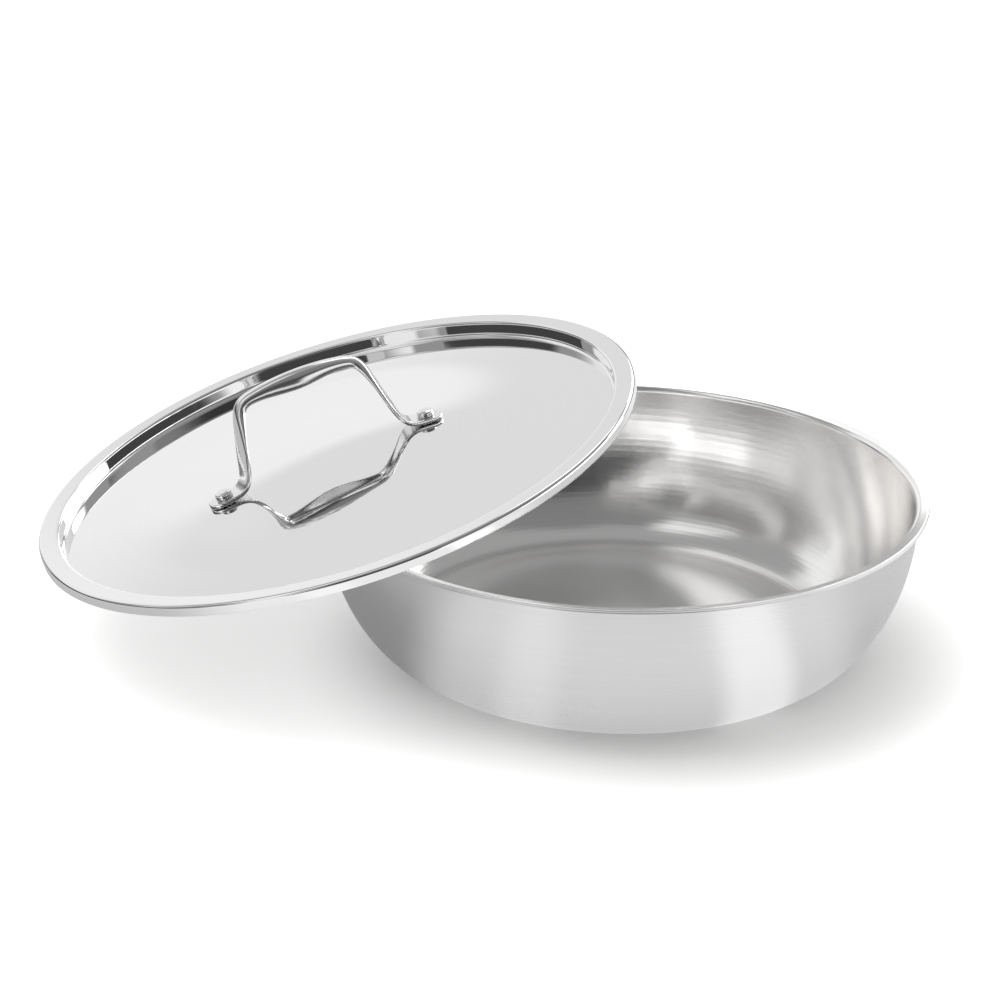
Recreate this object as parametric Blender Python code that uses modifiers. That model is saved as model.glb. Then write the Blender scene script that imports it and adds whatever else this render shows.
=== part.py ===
"""A shallow cooking pot with a loose lid, as pressed and riveted metal pieces.

Units are metres and +Z is up. The origin is the centre of the pot's flat base, on
the surface that it stands on. The lid leans over the rim at the pot's left, as a
cook puts it down. Its own frame has the origin on the lid's axis, in the plane of
the flat lip, with the handle's length along its X axis.
"""

import math

import bmesh
import bpy
from mathutils import Matrix, Vector

# The clad bowl
RIM_RADIUS = 0.130
POT_HEIGHT = 0.072
LIP_WIDTH = 0.0058
BASE_RADIUS = 0.0856
CURVE_BELOW_LIP = 0.005
LIP_SLOPE = math.radians(13.0)
LIP_BEND_RADIUS = 0.0026
SKIN_THICKNESS = 0.0004
CORE_THICKNESS = 0.0005
CORE_SETBACK = 0.0004

# The pressed lid
LID_OVERHANG = 0.002
LID_THICKNESS = 0.0007
SEAT_CLEARANCE = 0.0004
RECESS_DEPTH = 0.0069
WALL_DRAFT = 0.0003
DOME_RADIUS = 0.096
DOME_RISE = 0.0056
SKIRT_DEPTH = 0.0040
FOOT_FILLET = 0.0015
LIP_FILLET = 0.0013
LIP_RISE = 0.0005
EDGE_FILLET = 0.0014

# The strap handle on the lid
HANDLE_SHIFT = -0.0056
HANDLE_SIDE = -0.0042
STRAP_THICKNESS = 0.0020
RIVET_REACH = 0.0464
TAB_BEYOND_RIVET = 0.0075
FOOT_BEFORE_RIVET = 0.0090
CORNER_REACH = 0.0296
GRIP_HEIGHT = 0.0321
GRIP_ARCH = 0.0050
HANDLE_LEAN = math.radians(23.0)
LEG_TWIST = math.radians(14.0)
GRIP_TILT = math.radians(8.0)
LEAN_START = 0.0060
FOOT_BEND_RADIUS = 0.0060
CORNER_BEND_RADIUS = 0.0065
TAB_WIDTH = 0.0108
LEG_WIDTH = 0.0120
NECK_WIDTH = 0.0078
GRIP_WIDTH = 0.0106
NECK_CURL = 0.0044
GRIP_CURL = 0.0086

# The rivets
RIVET_HEAD_RADIUS = 0.0036
RIVET_HEAD_HEIGHT = 0.0025
RIVET_SHANK_RADIUS = 0.0020
RIVET_TAIL_RADIUS = 0.0033
RIVET_TAIL_HEIGHT = 0.0012
RIVET_EDGE_RADIUS = 0.0007

# How the lid is put down
LEAN_TILT = math.radians(15.54)
LEAN_HEADING = math.radians(12.66)
HANDLE_TURN = math.radians(7.6)
LID_CENTRE_X = -0.1218
LID_CENTRE_Y = 0.0129

# Clearance between pieces that touch
TOUCH_GAP = 0.0003

# Fineness of the turned and lofted pieces
TURN_STEPS = 48
RIVET_STEPS = 16
STRAP_STEPS = 12
STRAP_SPACING = 0.0045
RIM_SAMPLES = 360

MOUTH_RADIUS = RIM_RADIUS - LIP_WIDTH
CURVE_HEIGHT = POT_HEIGHT - CURVE_BELOW_LIP
WALL_THICKNESS = 2 * SKIN_THICKNESS + CORE_THICKNESS + 2 * TOUCH_GAP
LID_RADIUS = RIM_RADIUS + LID_OVERHANG
RECESS_RADIUS = MOUTH_RADIUS - SEAT_CLEARANCE - LID_THICKNESS


def rounded(corners, steps):
    """Turns (x, y, radius) corners into points, with an arc at each rounded corner."""
    points = []
    for index, (x, y, radius) in enumerate(corners):
        here = Vector((x, y))
        if radius == 0.0 or index in (0, len(corners) - 1):
            points.append(here)
            continue
        before = (Vector(corners[index - 1][:2]) - here).normalized()
        after = (Vector(corners[index + 1][:2]) - here).normalized()
        half = before.angle(after) / 2
        bisector = (before + after).normalized()
        centre = here + bisector * radius / math.sin(half)
        start = here + before * radius / math.tan(half) - centre
        sweep = math.pi - 2 * half
        turn = math.copysign(sweep, start.cross(-before))
        for step in range(steps + 1):
            arc = Matrix.Rotation(turn * step / steps, 2) @ start
            points.append(centre + arc)
    return points


def offset(path, distance):
    """Moves an open path sideways, to its right as it runs, by one distance."""
    moved = []
    for index, point in enumerate(path):
        back = path[max(index - 1, 0)]
        ahead = path[min(index + 1, len(path) - 1)]
        ways = [w.normalized() for w in (point - back, ahead - point) if w.length > 0]
        sides = [Vector((w.y, -w.x)) for w in ways]
        normal = sum(sides, Vector((0.0, 0.0))).normalized()
        place = point + normal * distance / normal.dot(sides[0])
        if point.x == 0.0:
            place.x = 0.0
        moved.append(place)
    return moved


def link(name, mesh, collection, parent=None):
    """Makes an object for a mesh and puts it in a collection."""
    item = bpy.data.objects.new(name, mesh)
    collection.objects.link(item)
    item.parent = parent
    return item


def turned(name, outline, collection, steps, parent=None):
    """Turns an outline in the XZ plane about Z, from its top round to its bottom."""
    mesh = bpy.data.meshes.new(name)
    vertices = [(point.x, 0.0, point.y) for point in outline]
    edges = [(i, i + 1) for i in range(len(outline) - 1)]
    mesh.from_pydata(vertices, edges, [])
    item = link(name, mesh, collection, parent)
    screw = item.modifiers.new("turn", "SCREW")
    screw.axis = "Z"
    screw.angle = 2 * math.pi
    screw.steps = steps
    screw.render_steps = steps
    screw.use_merge_vertices = True
    screw.merge_threshold = 0.00001
    screw.use_smooth_shade = True
    return item


def sheet_outline(path, near, far):
    """Closes a strip between two offsets of a path that starts on the axis."""
    return offset(path, near) + list(reversed(offset(path, far)))


def metal(name, colour, roughness, metallic=1.0):
    """Makes a plain metal finish."""
    material = bpy.data.materials.new(name)
    material.use_nodes = True
    shader = material.node_tree.nodes["Principled BSDF"]
    shader.inputs["Base Color"].default_value = (*colour, 1.0)
    shader.inputs["Roughness"].default_value = roughness
    shader.inputs["Metallic"].default_value = metallic
    return material


def bowl_path():
    """The bowl's inner surface, from the axis out over the flared lip."""
    floor = WALL_THICKNESS
    across = MOUTH_RADIUS - BASE_RADIUS
    curve_steps = 7
    path = [Vector((0.0, floor))]
    for step in range(curve_steps + 1):
        angle = math.pi / 2 * step / curve_steps
        path.append(Vector((
            MOUTH_RADIUS - across * (1 - math.sin(angle)),
            floor + (CURVE_HEIGHT - floor) * (1 - math.cos(angle)),
        )))
    end = Vector((RIM_RADIUS - WALL_THICKNESS * math.sin(LIP_SLOPE), POT_HEIGHT))
    rise = (end.x - MOUTH_RADIUS) * math.tan(LIP_SLOPE)
    bend = (MOUTH_RADIUS, end.y - rise, LIP_BEND_RADIUS)
    flare = rounded([(*path[-1], 0.0), bend, (*end, 0.0)], 4)
    return path + flare[1:]


def trimmed(path, amount):
    """Shortens a path's last leg."""
    last = path[-1] - path[-2]
    return path[:-1] + [path[-1] - last.normalized() * amount]


def build_bowl(collection):
    """The three plies of the clad bowl, bonded flat and pressed as one."""
    path = bowl_path()
    core_top = SKIN_THICKNESS + TOUCH_GAP
    skin_top = core_top + CORE_THICKNESS + TOUCH_GAP
    plies = (
        ("pot_inner_skin", path, 0.0, SKIN_THICKNESS, BRUSHED),
        ("pot_aluminium_core", trimmed(path, CORE_SETBACK),
         core_top, core_top + CORE_THICKNESS, ALUMINIUM),
        ("pot_outer_skin", path, skin_top, skin_top + SKIN_THICKNESS, SATIN),
    )
    for name, line, near, far, finish in plies:
        ply = turned(name, sheet_outline(line, near, far), collection, TURN_STEPS)
        ply.data.materials.append(metal(name, *finish))


def dome_height(radius):
    """Height of the lid's disc over its foot, a soft bell that dies out in a flat."""
    if radius >= DOME_RADIUS:
        return 0.0
    return DOME_RISE * (1 + math.cos(math.pi * radius / DOME_RADIUS)) / 2


def disc_under_handle(along):
    """Height of the disc in the lid's frame, and its slope, under the handle's line."""
    radius = math.hypot(along, HANDLE_SIDE)
    steepest = DOME_RISE * math.pi / (2 * DOME_RADIUS)
    slope = -steepest * math.sin(math.pi * radius / DOME_RADIUS) * along / radius
    return dome_height(radius) - RECESS_DEPTH, slope


def lid_path():
    """The lid's top surface, from the axis over the dome, up the wall and the lip."""
    dome_steps = 8
    path = []
    for step in range(dome_steps + 1):
        radius = DOME_RADIUS * step / dome_steps
        path.append(Vector((radius, dome_height(radius) - RECESS_DEPTH)))
    rim = rounded([
        (*path[-1], 0.0),
        (RECESS_RADIUS - WALL_DRAFT, -RECESS_DEPTH, FOOT_FILLET),
        (RECESS_RADIUS, 0.0, LIP_FILLET),
        (LID_RADIUS, LIP_RISE, EDGE_FILLET),
        (LID_RADIUS, -SKIRT_DEPTH, 0.0),
    ], 3)
    return path + rim[1:]


def lid_underside(radius):
    """Height of the lid's underside in the lid's frame, at a distance from its axis."""
    if radius > LID_RADIUS + TOUCH_GAP:
        return math.inf
    if radius > LID_RADIUS - LID_THICKNESS - TOUCH_GAP:
        return -SKIRT_DEPTH
    if radius > RECESS_RADIUS + LID_THICKNESS + TOUCH_GAP:
        return -LID_THICKNESS
    return dome_height(radius) - RECESS_DEPTH - LID_THICKNESS


def lid_matrix():
    """Leans the lid over the rim and lowers it until it all but touches the rim."""
    turn = (
        Matrix.Rotation(LEAN_HEADING, 4, "Z")
        @ Matrix.Rotation(-LEAN_TILT, 4, "Y")
        @ Matrix.Rotation(HANDLE_TURN, 4, "Z")
    )
    height = POT_HEIGHT
    edge_radius = RIM_RADIUS - WALL_THICKNESS * math.sin(LIP_SLOPE)
    for _ in range(6):
        place = Matrix.Translation((LID_CENTRE_X, LID_CENTRE_Y, height)) @ turn
        inverse = place.inverted()
        worst = -math.inf
        for sample in range(RIM_SAMPLES):
            angle = 2 * math.pi * sample / RIM_SAMPLES
            point = inverse @ Vector((
                edge_radius * math.cos(angle), edge_radius * math.sin(angle), POT_HEIGHT
            ))
            excess = point.z + TOUCH_GAP - lid_underside(point.xy.length)
            worst = max(worst, excess)
        height += worst / math.cos(LEAN_TILT)
    return Matrix.Translation((LID_CENTRE_X, LID_CENTRE_Y, height)) @ turn


def rivet_matrix(side):
    """The frame of a rivet, on the disc's surface and square to it."""
    along = HANDLE_SHIFT + side * RIVET_REACH
    height, slope = disc_under_handle(along)
    lean = Matrix.Rotation(-math.atan(slope), 4, "Y")
    return Matrix.Translation((along, HANDLE_SIDE, height)) @ lean


def hole_cutter(name, side, cutters, parent):
    """A cylinder that clears the rivet's shank through the disc and the tab."""
    mesh = bpy.data.meshes.new(name)
    form = bmesh.new()
    radius = RIVET_SHANK_RADIUS + TOUCH_GAP
    length = 4 * (LID_THICKNESS + STRAP_THICKNESS)
    bmesh.ops.create_cone(form, cap_ends=True, segments=RIVET_STEPS,
                          radius1=radius, radius2=radius, depth=length)
    form.to_mesh(mesh)
    form.free()
    cutter = link(name, mesh, cutters, parent)
    cutter.matrix_local = rivet_matrix(side)
    cutter.hide_render = True
    cutter.display_type = "WIRE"
    return cutter


def cut(item, cutter):
    """Subtracts a cutter from a piece."""
    modifier = item.modifiers.new("hole", "BOOLEAN")
    modifier.operation = "DIFFERENCE"
    modifier.object = cutter


def build_lid(collection, frame, holes):
    """The lid, drawn in one piece from a polished disc."""
    outline = sheet_outline(lid_path(), 0.0, LID_THICKNESS)
    lid = turned("lid", outline, collection, TURN_STEPS, frame)
    for cutter in holes:
        cut(lid, cutter)
    lid.data.materials.append(metal("lid", *MIRROR))


def strap_line():
    """The strap's top line in the plane of its length and height, arch left out."""
    top = dome_height(0.0) - RECESS_DEPTH + GRIP_HEIGHT
    sides = []
    for side in (-1, 1):
        along = HANDLE_SHIFT + side * RIVET_REACH
        height, slope = disc_under_handle(along)
        level = height + (TOUCH_GAP + STRAP_THICKNESS) * math.sqrt(1 + slope * slope)
        end = side * TAB_BEYOND_RIVET
        foot = -side * FOOT_BEFORE_RIVET
        sides.append([
            (along + end, level + slope * end, 0.0),
            (along + foot, level + slope * foot, FOOT_BEND_RADIUS),
            (HANDLE_SHIFT + side * CORNER_REACH, top, CORNER_BEND_RADIUS),
        ])
    left, right = sides
    return rounded(left + list(reversed(right)), 5)


def runs_along(path, ends):
    """Points along a path with the distance run to each, close set at both ends."""
    total = sum((after - before).length for before, after in zip(path, path[1:]))
    wanted = list(ends) + [total - run for run in ends]
    stations = [(path[0], 0.0)]
    start = 0.0
    for before, after in zip(path, path[1:]):
        length = (after - before).length
        parts = math.ceil(length / STRAP_SPACING)
        shares = {step / parts for step in range(1, parts + 1)}
        shares |= {(run - start) / length for run in wanted
                   if start < run < start + length}
        for share in sorted(shares):
            stations.append((before.lerp(after, share), start + length * share))
        start += length
    return stations, total


def eased(stops, place):
    """Reads a value between stops of (place, value), with a soft start and end."""
    for (start, low), (end, high) in zip(stops, stops[1:]):
        if place <= end:
            share = max(0.0, (place - start) / (end - start))
            return low + (high - low) * share * share * (3 - 2 * share)
    return stops[-1][1]


def strap_section(width, curl):
    """The strap's top face across its width, with both long edges curled down."""
    points = []
    for step in range(STRAP_STEPS + 1):
        angle = math.pi * (1 - step / STRAP_STEPS)
        across = math.copysign(abs(math.cos(angle)) ** 0.78, math.cos(angle))
        points.append((across * width / 2, curl * (math.sin(angle) ** 0.78 - 1)))
    return points


def strap_centre(point, foot):
    """Places a point of the strap's line in space, leant back and arched."""
    reach = point.x - HANDLE_SHIFT
    limit = CORNER_REACH + 0.15 * CORNER_BEND_RADIUS
    arch = GRIP_ARCH * max(0.0, 1 - (reach / limit) ** 2)
    climb = max(0.0, point.y - foot)
    eased_climb = climb - LEAN_START / 2
    if climb < LEAN_START:
        eased_climb = climb * climb / (2 * LEAN_START)
    back = HANDLE_SIDE + eased_climb * math.tan(HANDLE_LEAN)
    return Vector((point.x, back, point.y + arch))


def build_handle(collection, frame, holes):
    """The handle, pressed from one strip: flat tabs, flat legs and a hollow grip."""
    path = strap_line()
    end_round = TAB_WIDTH / 2
    ends = [end_round * share for share in (0.06, 0.25, 0.55, 1.0)]
    stations, length = runs_along(path, ends)
    tab = TAB_BEYOND_RIVET + FOOT_BEFORE_RIVET
    leg = tab + GRIP_HEIGHT / 4
    neck = tab + GRIP_HEIGHT
    widths = ((0.0, TAB_WIDTH), (leg, LEG_WIDTH), (neck, NECK_WIDTH),
              (length / 2, GRIP_WIDTH))
    curls = ((leg, 0.0), (neck, NECK_CURL), (length / 2, GRIP_CURL))
    twists = ((tab - FOOT_BEND_RADIUS / 2, 0.0), (leg, LEG_TWIST),
              (neck, LEG_TWIST), (length / 2, 0.0))
    foot = max(path[0].y, path[-1].y) + STRAP_THICKNESS / 2
    top = max(point.y for point in path)
    centres = [strap_centre(point, foot) for point, run in stations]

    form = bmesh.new()
    rings = []
    for index, (point, run) in enumerate(stations):
        place = min(run, length - run)
        ahead = centres[min(index + 1, len(centres) - 1)]
        behind = centres[max(index - 1, 0)]
        tangent = (ahead - behind).normalized()
        climb = min(1.0, max(0.0, (point.y - foot) / (top - foot) * 3))
        tilt = GRIP_TILT * climb * climb * (3 - 2 * climb)
        across = Vector((0.0, math.cos(tilt), -math.sin(tilt)))
        across = (across - tangent * across.dot(tangent)).normalized()
        up = tangent.cross(across)
        twist = Matrix.Rotation(eased(twists, place), 3, tangent)
        across, up = twist @ across, twist @ up
        width = eased(widths, place)
        if place < end_round:
            inset = (end_round - place) / end_round
            width *= math.sqrt(max(0.03, 1 - inset * inset))
        rings.append([form.verts.new(centres[index] + across * x + up * z)
                      for x, z in strap_section(width, eased(curls, place))])
    for before, after in zip(rings, rings[1:]):
        for step in range(STRAP_STEPS):
            form.faces.new((before[step], after[step],
                            after[step + 1], before[step + 1]))
    mesh = bpy.data.meshes.new("lid_handle")
    form.to_mesh(mesh)
    form.free()
    mesh.shade_smooth()
    handle = link("lid_handle", mesh, collection, frame)
    sheet = handle.modifiers.new("sheet", "SOLIDIFY")
    sheet.thickness = STRAP_THICKNESS
    sheet.offset = -1.0
    sheet.use_even_offset = True
    for cutter in holes:
        cut(handle, cutter)
    mesh.materials.append(metal("lid_handle", *POLISHED))


def build_rivet(name, side, collection, frame):
    """A rivet, with its made head on the tab and its closed tail under the lid."""
    seat = TOUCH_GAP + STRAP_THICKNESS + TOUCH_GAP
    below = -LID_THICKNESS - TOUCH_GAP
    outline = rounded([
        (0.0, seat + RIVET_HEAD_HEIGHT, 0.0),
        (RIVET_HEAD_RADIUS, seat + RIVET_HEAD_HEIGHT, RIVET_EDGE_RADIUS),
        (RIVET_HEAD_RADIUS, seat, 0.0),
        (RIVET_SHANK_RADIUS, seat, 0.0),
        (RIVET_SHANK_RADIUS, below, 0.0),
        (RIVET_TAIL_RADIUS, below, 0.0),
        (RIVET_TAIL_RADIUS, below - RIVET_TAIL_HEIGHT, RIVET_EDGE_RADIUS),
        (0.0, below - RIVET_TAIL_HEIGHT, 0.0),
    ], 3)
    rivet = turned(name, outline, collection, RIVET_STEPS, frame)
    rivet.matrix_local = rivet_matrix(side)
    rivet.data.materials.append(metal(name, *POLISHED))


def clear_scene():
    """Removes what a new file holds."""
    for item in list(bpy.data.objects):
        bpy.data.objects.remove(item, do_unlink=True)


# Finishes as colour, roughness
BRUSHED = ((0.66, 0.65, 0.64), 0.34)
SATIN = ((0.68, 0.68, 0.68), 0.28)
ALUMINIUM = ((0.78, 0.79, 0.80), 0.45)
MIRROR = ((0.80, 0.80, 0.80), 0.06)
POLISHED = ((0.76, 0.76, 0.76), 0.12)


def main():
    clear_scene()
    pot = bpy.data.collections.new("shallow_cooking_pot")
    cutters = bpy.data.collections.new("cutters")
    for collection in (pot, cutters):
        bpy.context.scene.collection.children.link(collection)
    frame = link("lid_frame", None, pot)
    frame.matrix_world = lid_matrix()

    build_bowl(pot)
    holes = [hole_cutter(name, side, cutters, frame)
             for name, side in (("left_hole", -1), ("right_hole", 1))]
    build_lid(pot, frame, holes)
    build_handle(pot, frame, holes)
    build_rivet("left_rivet", -1, pot, frame)
    build_rivet("right_rivet", 1, pot, frame)


main()
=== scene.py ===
"""Dresses the shallow cooking pot and its leaning lid for a product photograph.

Units are metres and +Z is up. The pot stands on the origin. The lid's own frame has
its origin on the lid's axis, in the plane of the flat lip.
"""

import math

import bmesh
import bpy
from mathutils import Matrix, Vector


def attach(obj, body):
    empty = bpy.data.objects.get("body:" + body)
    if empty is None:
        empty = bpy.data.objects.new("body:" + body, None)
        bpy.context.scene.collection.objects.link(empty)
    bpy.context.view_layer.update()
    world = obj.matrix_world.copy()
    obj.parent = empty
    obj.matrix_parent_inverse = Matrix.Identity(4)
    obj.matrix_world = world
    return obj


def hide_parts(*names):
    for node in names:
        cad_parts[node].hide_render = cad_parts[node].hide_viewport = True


bl_info = {
    "name": "Shallow Cooking Pot",
    "version": (1, 0, 0),
    "blender": (4, 5, 0),
    "location": "View3D > Sidebar > Cookware",
    "description": "Builds a clad pot, a pressed lid with a strap handle, and a stage",
    "category": "Add Mesh",
}

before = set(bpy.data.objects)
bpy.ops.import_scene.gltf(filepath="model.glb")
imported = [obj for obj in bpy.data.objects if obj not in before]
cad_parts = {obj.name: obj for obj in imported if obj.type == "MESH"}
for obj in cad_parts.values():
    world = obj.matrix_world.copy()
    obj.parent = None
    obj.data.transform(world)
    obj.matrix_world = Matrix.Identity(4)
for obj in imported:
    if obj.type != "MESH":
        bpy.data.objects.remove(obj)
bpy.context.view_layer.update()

# The lid's place, as the CAD model rests it on the rim
LID_PLACE = Vector((-0.1218, 0.0129, 0.082028))
LID_TILT = math.radians(15.54)
LID_HEADING = math.radians(12.66)
HANDLE_TURN = math.radians(7.6)

# The gap between pieces that touch
TOUCH_GAP = 0.0003

# Steps along the bowl's floor and its curved side, along the lid's dome, and round each
# bend of a sheet, a cut edge, the strap and a rivet, and the facets round a rivet
BOWL_FLOOR_STEPS = 6
BOWL_SIDE_STEPS = 32
LID_DOME_STEPS = 32
SHEET_BEND_STEPS = 10
CUT_EDGE_STEPS = 4
STRAP_BEND_STEPS = 12
RIVET_BEND_STEPS = 8
RIVET_FACETS = 64

# How far from a bend an outline gets the point that keeps the bend crisp
SHEET_SUPPORT = 0.0004
RIVET_SUPPORT = 0.0002

# The distance below which points of a turned piece become one
MERGE_DISTANCE = 0.0000005

# The rounding of the cut edges
PLY_EDGE_RADIUS = 0.00012
LID_EDGE_RADIUS = 0.0002

# The ground rim edge, whose near-white colour is partly a painted highlight: how far in it
# reaches, and the least that its faces look outwards
GROUND_REACH = 0.0012
GROUND_FACING = 0.6

# The strap in metres: its end and its foot from the rivet, the radii of its bends, and
# the height over which a leg comes to its full lean
TAB_BEYOND_RIVET = 0.0075
FOOT_BEFORE_RIVET = 0.0090
FOOT_BEND_RADIUS = 0.0060
CORNER_BEND_RADIUS = 0.0065
LEAN_START = 0.0060

# Shares in the strap: how far up a leg is widest and the tilt full, how far the grip's
# arch runs into a corner's bend, and the least that the rounded tip's squared width
# comes to beside the tab's
FULL_LEG = 1 / 3
ARCH_INTO_CORNER = 0.15
TIP_WIDTH_SQUARED = 0.03

# The strap's mesh: metres from ring to ring, steps across its top, and the neighbours on
# each side that soften a bend
STRAP_SPACING = 0.0006
STRAP_STEPS = 16
BEND_SOFTNESS = 4

# Powers in the strap's section: its arch is round at 1 and squarer below, and its long
# edges are round at 2 and blunter above
ARCH_POWER = 0.78
EDGE_POWER = 5.0

# A rivet: where its crown starts to fall, as a share of the head's radius, how far below
# the top the head's edge lies, and the bend radii of the head's and the tail's edges
CROWN_START = 0.55
HEAD_EDGE_DROP = 0.0005
HEAD_EDGE_RADIUS = 0.0008
TAIL_EDGE_RADIUS = 0.0007

# The part of a noise's range that shows
NOISE_RANGE = (0.25, 0.75)

# The grain: the radius at which a line has its full length, and the scale of its wide
# bands beside that of its lines
GRAIN_RADIUS = 0.12
BAND_SCALE = (0.05, 0.5, 0.5)

# The roughness: the weight of the bands, the rest being the wiped patches', and the
# size of a patch
BAND_WEIGHT = 0.6
PATCH_SIZE = 0.05

# The part of a whole turn that lays a brushed highlight across the grain
QUARTER_TURN = 0.25

# How far under the pot the floor lies, and the middle of the painted shade. Round it, the
# floor's painted glow, which only the camera sees, fades so that the pot's shadow shows
FLOOR_DROP = 0.0004
PAINTED_SHADE_MIDDLE = (0.02, -0.01, 0.0)

# The facets round the studio's dome, and the slack in cutting off its lower half
STUDIO_FACETS = 96
STUDIO_SLACK = 0.01

# The main lamp, which points at the pot
KEY_LAMP_PLACE = Vector((-0.9, -0.3, 1.7))
KEY_LAMP_WIDTH = 1.0

# The camera of the photograph, its angles in radians and its lens in millimetres
CAMERA_PLACE = Vector((-0.0506139, -0.8025711, 0.3900106))
CAMERA_PITCH = 0.3877938
CAMERA_ROLL = 0.0067713
CAMERA_LENS = 73.08
CAMERA_SENSOR = 36.0

# Light that passes this often between the bowl and the lid's underside still counts
GLOSSY_BOUNCES = 12

# The studio as polished steel sees it: bearing from the camera's side toward +X,
# elevation, half width, half height and softness in degrees, and level of light
STUDIO_PANELS = (
    ("left_high", -64.0, 50.0, 24.0, 25.0, 8.0, 0.95),
    ("back_left", -160.0, 13.0, 20.0, 22.0, 4.0, 0.95),
    ("back_shade", -161.0, 33.0, 22.0, 9.0, 5.0, 0.79),
    ("back_high", 180.0, 51.0, 14.0, 7.0, 3.0, 2.00),
    ("rear_left", -131.0, 28.0, 16.0, 9.0, 5.0, 0.90),
    ("right_wide", 98.0, 13.0, 31.0, 14.0, 2.0, 2.00),
    ("right_dark", 84.0, 35.0, 42.0, 5.0, 3.0, 0.06),
    ("rear_right", 147.0, 28.5, 26.0, 6.5, 2.0, 3.50),
    ("right_strip", 51.0, 15.0, 21.0, 10.0, 2.0, 1.05),
    ("front_dark", -1.0, 18.0, 26.0, 28.0, 3.0, 0.06),
    ("front_right", 38.0, 43.0, 18.0, 13.0, 3.0, 0.04),
    ("front_streak", -26.0, 30.0, 3.0, 15.0, 1.0, 0.64),
    ("front_low", 4.0, 0.0, 53.0, 3.0, 3.0, 0.65),
    ("left_low", -33.0, 9.0, 7.0, 6.0, 3.0, 0.97),
    ("left_shade", -68.0, 30.0, 10.0, 8.0, 8.0, 0.25),
    ("top_grey", 20.0, 62.0, 65.0, 17.0, 7.0, 0.20),
    ("left_dark", -91.0, 5.0, 36.0, 7.0, 1.0, 0.06),
)

# Painted reflections of the floor, which polished steel sees in place of its shade: a
# painted shade at the left, a painted glint, a painted highlight and a painted shade at
# the right. Bearing in degrees and distance in centimetres from the pot's axis, half
# width, half depth and softness, and level of light
PAINTED_FLOOR_REFLECTIONS = (
    ("painted_shade_left", -95.0, 0.0, 30.0, 400.0, 22.0, 0.36),
    ("painted_glint", -24.0, 0.0, 3.0, 400.0, 8.0, 1.10),
    ("painted_highlight", 33.0, 0.0, 5.0, 400.0, 9.0, 1.45),
    ("painted_shade_right", 100.0, 0.0, 25.0, 400.0, 22.0, 0.60),
)
CENTIMETRES_IN_METRE = 100.0


# settings

def length(name, description, default, least=0.0):
    """A length property in metres."""
    return bpy.props.FloatProperty(
        name=name, description=description, default=default, min=least,
        unit="LENGTH", subtype="DISTANCE", precision=5)


def colour(name, description, default):
    """A linear colour property."""
    return bpy.props.FloatVectorProperty(
        name=name, description=description, default=default, size=3,
        min=0.0, max=1.0, subtype="COLOR")


def share(name, description, default):
    """A property between nought and one."""
    return bpy.props.FloatProperty(
        name=name, description=description, default=default,
        min=0.0, max=1.0, subtype="FACTOR")


def turn(name, description, degrees):
    """An angle property."""
    return bpy.props.FloatProperty(
        name=name, description=description, default=math.radians(degrees),
        unit="ROTATION", subtype="ANGLE")


def facets(description, default):
    """A property for the number of facets round a piece."""
    return bpy.props.IntProperty(
        name="Facets", description=description, default=default, min=12)


class BowlSettings(bpy.types.PropertyGroup):
    """Sizes and finishes of the clad bowl."""
    rim_radius: length("Rim radius", "Radius over the flared lip", 0.130)
    height: length("Height", "Height from the base to the lip", 0.072)
    mouth_radius: length("Mouth radius", "Inside radius under the lip", 0.1242)
    base_radius: length("Base radius", "Radius of the flat floor", 0.0856)
    curve_height: length("Curve height", "Height where the side ends its curve", 0.067)
    lip_slope: turn("Lip slope", "How far the flared lip rises outwards", 13.0)
    lip_bend: length("Lip bend", "Bend radius under the lip", 0.0026)
    skin: length("Skin", "Thickness of each steel skin", 0.0004)
    core: length("Core", "Thickness of the aluminium core", 0.0005)
    steps: facets("Facets round the bowl", 288)
    inside_colour: colour("Inside", "Colour of the brushed inside", (0.94, 0.935, 0.93))
    outside_colour: colour("Outside", "Colour of the satin outside", (0.75, 0.75, 0.75))
    # The ground edge is ground steel, and its near-white colour is partly a painted
    # highlight along the rim
    edge_colour: colour("Edge", "Colour of the ground rim edge", (0.98, 0.98, 0.98))
    core_colour: colour("Core colour", "Colour of the bare core", (0.78, 0.79, 0.80))


class LidSettings(bpy.types.PropertyGroup):
    """Sizes and finish of the pressed lid."""
    radius: length("Radius", "Radius over the lip", 0.132)
    thickness: length("Thickness", "Thickness of the sheet", 0.0007)
    recess_radius: length("Recess radius", "Inside radius of the recess", 0.1231)
    recess_depth: length("Recess depth", "Depth of the recess's foot", 0.0069)
    draft: length("Draft", "How far the wall leans in at its foot", 0.0003)
    dome_radius: length("Dome radius", "Radius where the dome dies out", 0.096)
    dome_rise: length("Dome rise", "Height of the dome over the foot", 0.0056)
    skirt: length("Skirt", "Depth of the edge turned down", 0.0040)
    lip_rise: length("Lip rise", "How far the lip climbs to its outer edge", 0.0005)
    foot_fillet: length("Foot fillet", "Bend radius at the wall's foot", 0.0015)
    lip_fillet: length("Lip fillet", "Bend radius at the lip's inner edge", 0.0013)
    edge_fillet: length("Edge fillet", "Bend radius at the lip's outer edge", 0.0014)
    steps: facets("Facets round the lid", 320)
    steel_colour: colour("Colour", "Colour of the mirror steel", (0.89, 0.89, 0.89))


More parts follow.
